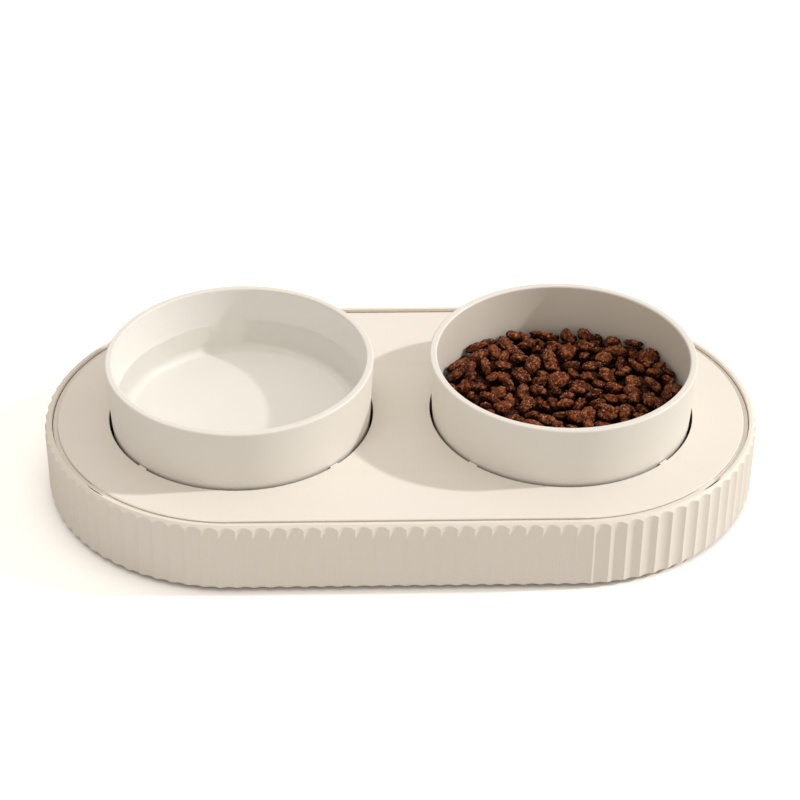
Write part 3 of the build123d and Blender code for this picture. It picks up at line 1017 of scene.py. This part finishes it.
def make_light():
    """A soft key from the right and a warm even fill from all round."""
    data = bpy.data.lights.new("key", "SUN")
    data.energy = KEY_STRENGTH
    data.color = KEY_COLOUR
    data.angle = KEY_SPREAD
    data.cycles.is_caustics_light = True
    key = bpy.data.objects.new("key", data)
    bpy.context.scene.collection.objects.link(key)
    towards = Vector(
        (
            math.cos(KEY_HEIGHT) * math.cos(KEY_HEADING),
            math.cos(KEY_HEIGHT) * math.sin(KEY_HEADING),
            math.sin(KEY_HEIGHT),
        )
    )
    key.rotation_mode = "QUATERNION"
    key.rotation_quaternion = towards.to_track_quat("Z", "Y")

    world = bpy.data.worlds.new("studio")
    bpy.context.scene.world = world
    world.use_nodes = True
    world.cycles.sampling_method = "NONE"
    tree = world.node_tree
    fill = tree.nodes["Background"]
    fill.inputs["Color"].default_value = (*FILL_COLOUR, 1)
    place = add_node(tree, "ShaderNodeTexCoord").outputs["Generated"]
    height = add_node(tree, "ShaderNodeSeparateXYZ", links={0: place}).outputs["Z"]
    strength = remap(tree, height, (0.0, 1.0), (FILL_LOW, FILL_HIGH))
    path = add_node(tree, "ShaderNodeLightPath").outputs
    gain = arithmetic(tree, "MULTIPLY_ADD", path["Is Transmission Ray"], WATER_GAIN, 1.0)
    tree.links.new(arithmetic(tree, "MULTIPLY", strength, gain), fill.inputs["Strength"])
    backdrop = add_node(tree, "ShaderNodeBackground", {"Color": (1, 1, 1, 1), "Strength": 1.0})

    # White to the camera, and in what it sees mirrored or through water before any bounce.
    mirrored = arithmetic(tree, "MAXIMUM", path["Is Glossy Ray"], path["Is Transmission Ray"])
    first = arithmetic(tree, "LESS_THAN", path["Diffuse Depth"], 0.5)
    direct = arithmetic(tree, "MULTIPLY", mirrored, first)
    seen = arithmetic(tree, "MAXIMUM", path["Is Camera Ray"], direct)
    mix = add_node(
        tree,
        "ShaderNodeMixShader",
        links={0: seen, 1: fill.outputs[0], 2: backdrop.outputs[0]},
    )
    tree.links.new(mix.outputs[0], tree.nodes["World Output"].inputs["Surface"])


# ------------------------------------------------------------------ the scene
bpy.context.scene.view_settings.view_transform = "Standard"

make_camera()
make_floor()
make_light()

base_plastic = moulded_plastic(
    "cream_base",
    tint=(0.858, 0.792, 0.71, 1),
    other_tint=(0.845, 0.78, 0.697, 1),
    edge_wear_and_highlight_tint=(0.89, 0.83, 0.755, 1),
    roughness=0.52,
    grain=2200.0,
    relief=0.25,
)
deck_plastic = moulded_plastic(
    "cream_deck",
    tint=(0.862, 0.812, 0.742, 1),
    other_tint=(0.848, 0.8, 0.73, 1),
    edge_wear_and_highlight_tint=(0.89, 0.84, 0.77, 1),
    roughness=0.55,
    grain=2200.0,
    relief=0.25,
)
cover_plastic = moulded_plastic(
    "cream_cover",
    tint=(0.8, 0.74, 0.65, 1),
    other_tint=(0.78, 0.72, 0.63, 1),
    edge_wear_and_highlight_tint=(0.84, 0.78, 0.7, 1),
    roughness=0.6,
    grain=1200.0,
    relief=0.4,
)
# The bowls' outside is a darker copy of their plastic, as painted shade; the insides are a paler
# copy as painted light, and a darker browner copy as painted shade.
bowl_outside_painted_shade = moulded_plastic(
    "off_white_bowl_painted_shade",
    tint=(0.818, 0.782, 0.718, 1),
    other_tint=(0.805, 0.769, 0.704, 1),
    edge_wear_and_highlight_tint=(0.91, 0.895, 0.86, 1),
    roughness=0.42,
    grain=2600.0,
    relief=0.12,
)
bowl_inside_painted_light = moulded_plastic(
    "bowl_inside",
    tint=(0.9, 0.88, 0.842, 1),
    other_tint=(0.89, 0.87, 0.83, 1),
    edge_wear_and_highlight_tint=(0.92, 0.905, 0.87, 1),
    roughness=0.36,
    grain=2600.0,
    relief=0.1,
)
bowl_inside_painted_shade = moulded_plastic(
    "bowl_inside_with_painted_shade",
    tint=(0.8, 0.735, 0.65, 1),
    other_tint=(0.76, 0.69, 0.6, 1),
    edge_wear_and_highlight_tint=(0.86, 0.82, 0.76, 1),
    roughness=0.4,
    grain=2600.0,
    relief=0.12,
)
foot_rubber = moulded_plastic(
    "foot_rubber",
    tint=(0.05, 0.05, 0.048, 1),
    other_tint=(0.065, 0.063, 0.06, 1),
    edge_wear_and_highlight_tint=(0.1, 0.1, 0.095, 1),
    roughness=0.8,
    grain=900.0,
    relief=0.8,
)
still_water = clear_water()
kibble = kibble_crust()
screw_plate = zinc_plate()

finishes = {
    "deck_panel": deck_plastic,
    "bottom_cover": cover_plastic,
    "cover_screws": screw_plate,
    "feet": foot_rubber,
}
for node, material in finishes.items():
    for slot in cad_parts[node].material_slots:
        slot.material = material

make_shell(base_plastic)
make_bowl(
    "water_tub", water_spot, "water_bowl", "left_bowl", [bowl_outside_painted_shade, bowl_inside_painted_light]
)
make_bowl("food_tub", food_spot, "food_bowl", "right_bowl", [bowl_outside_painted_shade, bowl_inside_painted_shade])
make_water(still_water)
make_kibble(kibble)
